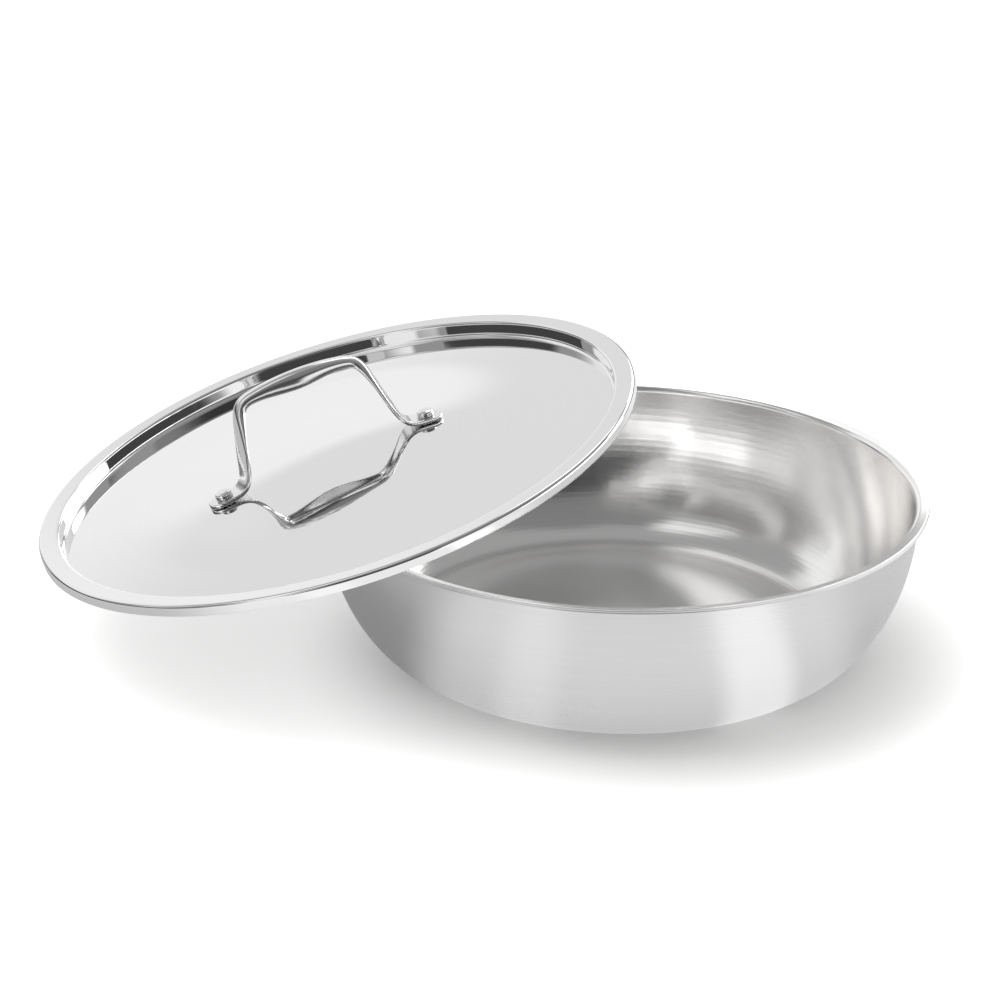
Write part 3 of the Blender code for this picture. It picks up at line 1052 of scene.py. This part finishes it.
@made_once
def soft_panel(name):
    """Lays one soft-edged panel of light over the level behind it."""
    labels = ("Bearing", "Elevation", "Behind", "Middle Bearing", "Middle Elevation",
              "Half Width", "Half Height", "Softness", "Level")
    tree, given, result = start_group(
        name, "ShaderNodeTree", {label: "Float" for label in labels}, {"Light": "Float"})
    turned_by = reckon(tree, "SUBTRACT", given["Bearing"], given["Middle Bearing"])
    away = reckon(tree, "ABSOLUTE", reckon(tree, "WRAP", turned_by, 180.0, -180.0))
    high = reckon(tree, "ABSOLUTE", reckon(
        tree, "SUBTRACT", given["Elevation"], given["Middle Elevation"]))
    masks = []
    for distance, reach in ((away, given["Half Width"]), (high, given["Half Height"])):
        end = reckon(tree, "ADD", reach, given["Softness"])
        masks.append(ramp(tree, distance, reach, end, 1.0, 0.0, "SMOOTHSTEP"))
    mask = reckon(tree, "MULTIPLY", *masks)
    step = reckon(tree, "SUBTRACT", given["Level"], given["Behind"])
    light = reckon(tree, "MULTIPLY_ADD", mask, step, given["Behind"])
    tree.links.new(light, result["Light"])
    return tree


def lay_panels(tree, panels, across, high, light):
    """Lays panels one over another on a first level of light."""
    for name, middle, height, width, tall, softness, level in panels:
        light = effect(tree, soft_panel(), {
            "Bearing": across, "Elevation": high, "Behind": light,
            "Middle Bearing": middle, "Middle Elevation": height, "Half Width": width,
            "Half Height": tall, "Softness": softness, "Level": level,
        }, label=name)["Light"]
    return light


def bearing(tree, place):
    """The degrees from the camera's side toward +X at which a place lies."""
    parts = split(tree, place)
    toward = reckon(tree, "MULTIPLY", parts["Y"], -1.0)
    return reckon(tree, "DEGREES", reckon(tree, "ARCTAN2", parts["X"], toward))


def floor_finish(stage):
    """A matt white floor. Metal sees painted reflections in panels in place of its shade,
    and the camera sees a painted glow that lightens the shade away from the pot.
    """
    material, tree, shader = new_material("white_floor")
    where = tree.nodes.new("ShaderNodeTexCoord").outputs["Object"]
    rays = tree.nodes.new("ShaderNodeLightPath").outputs
    distance = reckon_vector(tree, "LENGTH", where)["Value"]
    centimetres = reckon(tree, "MULTIPLY", distance, CENTIMETRES_IN_METRE)
    # Painted reflections, laid by bearing and distance, that only metal sees on the floor
    painted_reflections = lay_panels(tree, PAINTED_FLOOR_REFLECTIONS, bearing(tree, where), centimetres,
                         stage.floor_level)
    # For glossy rays the floor's colour is darkened towards black, so the painted
    # reflections glow in place of its shade
    mirrored = reckon(tree, "MULTIPLY", rays["Is Glossy Ray"], stage.floor_in_metal)
    # A painted glow for the camera. It rises from the painted shade's heart to the open
    # floor and lifts the pot's real shadow
    from_shade = reckon_vector(tree, "DISTANCE", where, PAINTED_SHADE_MIDDLE)["Value"]
    rise = ramp(tree, from_shade, stage.shade_heart, stage.shade_reach,
                stage.heart_lift, stage.floor_lift, "SMOOTHSTEP")
    painted_camera_glow = reckon(tree, "MULTIPLY", rays["Is Camera Ray"], rise)
    # The floor's glow: its painted reflections for metal and its painted glow for the camera
    glow = reckon(tree, "MULTIPLY_ADD", mirrored, painted_reflections, painted_camera_glow)
    shader.inputs["Roughness"].default_value = 0.9
    shader.inputs["Specular IOR Level"].default_value = 0.0
    shader.inputs["Emission Color"].default_value = (1.0, 1.0, 1.0, 1.0)
    tree.links.new(mixed(tree, mirrored, stage.floor_colour, (0.0, 0.0, 0.0)),
                   shader.inputs["Base Color"])
    tree.links.new(glow, shader.inputs["Emission Strength"])
    return material


def studio_finish(stage):
    """The dim studio and its light panels."""
    material, tree, shader = new_material("studio_surroundings")
    tree.nodes.remove(shader)
    where = tree.nodes.new("ShaderNodeTexCoord").outputs["Object"]
    way = reckon_vector(tree, "NORMALIZE", where)["Vector"]
    height = reckon(tree, "ARCSINE", split(tree, way)["Z"])
    elevation = reckon(tree, "DEGREES", height)
    light = lay_panels(tree, STUDIO_PANELS, bearing(tree, way), elevation, stage.room_level)
    glow = node(tree, "ShaderNodeEmission", {"Strength": light})
    tree.links.new(glow.outputs[0], tree.nodes["Material Output"].inputs["Surface"])
    return material


def studio_dome(stage):
    """A dome round the stage that only reflections see."""
    form = bmesh.new()
    bmesh.ops.create_uvsphere(form, u_segments=STUDIO_FACETS,
                              v_segments=STUDIO_FACETS // 2, radius=stage.dome_radius)
    below = [vert for vert in form.verts if vert.co.z < -STUDIO_SLACK]
    bmesh.ops.delete(form, geom=below, context="VERTS")
    bmesh.ops.reverse_faces(form, faces=form.faces)
    dome = link("studio_dome", mesh_from(form, "studio_dome"))
    dome.data.materials.append(studio_finish(stage))
    dome.visible_camera = False
    dome.visible_diffuse = False
    dome.visible_shadow = False
    return dome


def white_floor(stage):
    """The floor, a square just under the pot."""
    form = bmesh.new()
    bmesh.ops.create_grid(form, x_segments=1, y_segments=1, size=stage.floor_size / 2)
    bmesh.ops.translate(form, verts=form.verts, vec=(0.0, 0.0, -FLOOR_DROP))
    floor = link("floor", mesh_from(form, "floor"))
    floor.data.materials.append(floor_finish(stage))
    return floor


def key_lamp(stage):
    """The main lamp, a soft square that points at the pot. Metal doesn't mirror it."""
    data = bpy.data.lights.new("key_lamp", "AREA")
    data.size = KEY_LAMP_WIDTH
    data.energy = stage.key_power
    item = link("key_lamp", data)
    item.visible_glossy = False
    aim = (-KEY_LAMP_PLACE).to_track_quat("-Z", "Y").to_matrix().to_4x4()
    item.matrix_world = Matrix.Translation(KEY_LAMP_PLACE) @ aim


def even_light(stage):
    """A world that is plain white to camera, gloss and glass, and soft light to the rest."""
    world = bpy.data.worlds.new("white_studio")
    bpy.context.scene.world = world
    world.use_nodes = True
    tree = world.node_tree
    height = split(tree, tree.nodes.new("ShaderNodeTexCoord").outputs["Generated"])["Z"]
    soft = ramp(tree, height, 0.0, 1.0, stage.side_fill, stage.top_fill)
    rays = tree.nodes.new("ShaderNodeLightPath").outputs
    mirrored = reckon(tree, "MAXIMUM", rays["Is Glossy Ray"], rays["Is Transmission Ray"])
    background = reckon(tree, "MAXIMUM", rays["Is Camera Ray"], mirrored)
    strength = ramp(tree, background, 0.0, 1.0, soft, 1.0)
    shader = tree.nodes["Background"]
    shader.inputs["Color"].default_value = (1.0, 1.0, 1.0, 1.0)
    tree.links.new(strength, shader.inputs["Strength"])


def photograph_camera():
    """The photograph's camera, as fitted to the rims and the outline."""
    data = bpy.data.cameras.new("camera")
    data.sensor_width = CAMERA_SENSOR
    data.lens = CAMERA_LENS
    data.clip_start, data.clip_end = 0.02, 60.0
    item = link("camera", data)
    forward = Vector((0.0, math.cos(CAMERA_PITCH), -math.sin(CAMERA_PITCH)))
    right = Vector((1.0, 0.0, 0.0))
    up = right.cross(forward)
    level, roll = math.cos(CAMERA_ROLL), math.sin(CAMERA_ROLL)
    axes = Matrix((right * level + up * roll, up * level - right * roll, -forward))
    item.matrix_world = Matrix.Translation(CAMERA_PLACE) @ axes.transposed().to_4x4()
    bpy.context.scene.camera = item


class COOKWARE_OT_stage(bpy.types.Operator):
    """Builds the white floor, the surroundings, the lamp and the camera"""
    bl_idname = "cookware.stage"
    bl_label = "White Studio"

    def execute(self, context):
        stage = of("pot_stage")
        white_floor(stage)
        studio_dome(stage)
        key_lamp(stage)
        even_light(stage)
        photograph_camera()
        context.scene.view_settings.view_transform = "Standard"
        context.scene.cycles.glossy_bounces = GLOSSY_BOUNCES
        return {"FINISHED"}


# the panel

OPERATORS = (COOKWARE_OT_bowl, COOKWARE_OT_lid, COOKWARE_OT_handle,
             COOKWARE_OT_rivets, COOKWARE_OT_stage)


class COOKWARE_PT_panel(bpy.types.Panel):
    """Lists the pieces of the pot"""
    bl_idname = "COOKWARE_PT_panel"
    bl_label = "Shallow Cooking Pot"
    bl_space_type = "VIEW_3D"
    bl_region_type = "UI"
    bl_category = "Cookware"

    def draw(self, context):
        for kind in OPERATORS:
            self.layout.operator(kind.bl_idname)


CLASSES = (*SETTINGS.values(), *OPERATORS, COOKWARE_PT_panel)


def register():
    """Makes the classes and the scene's settings known to Blender."""
    for kind in CLASSES:
        bpy.utils.register_class(kind)
    for name, kind in SETTINGS.items():
        setattr(bpy.types.Scene, name, bpy.props.PointerProperty(type=kind))


def unregister():
    """Takes the settings and the classes away again."""
    for name in SETTINGS:
        delattr(bpy.types.Scene, name)
    for kind in reversed(CLASSES):
        bpy.utils.unregister_class(kind)


def corners(box):
    """A box as plain lists of numbers."""
    return [list(corner) for corner in box]


def main():
    """Builds every piece in order."""
    register()
    for build in (bpy.ops.cookware.bowl, bpy.ops.cookware.lid, bpy.ops.cookware.handle,
                  bpy.ops.cookware.rivets, bpy.ops.cookware.stage):
        build()


if __name__ == "__main__":
    main()
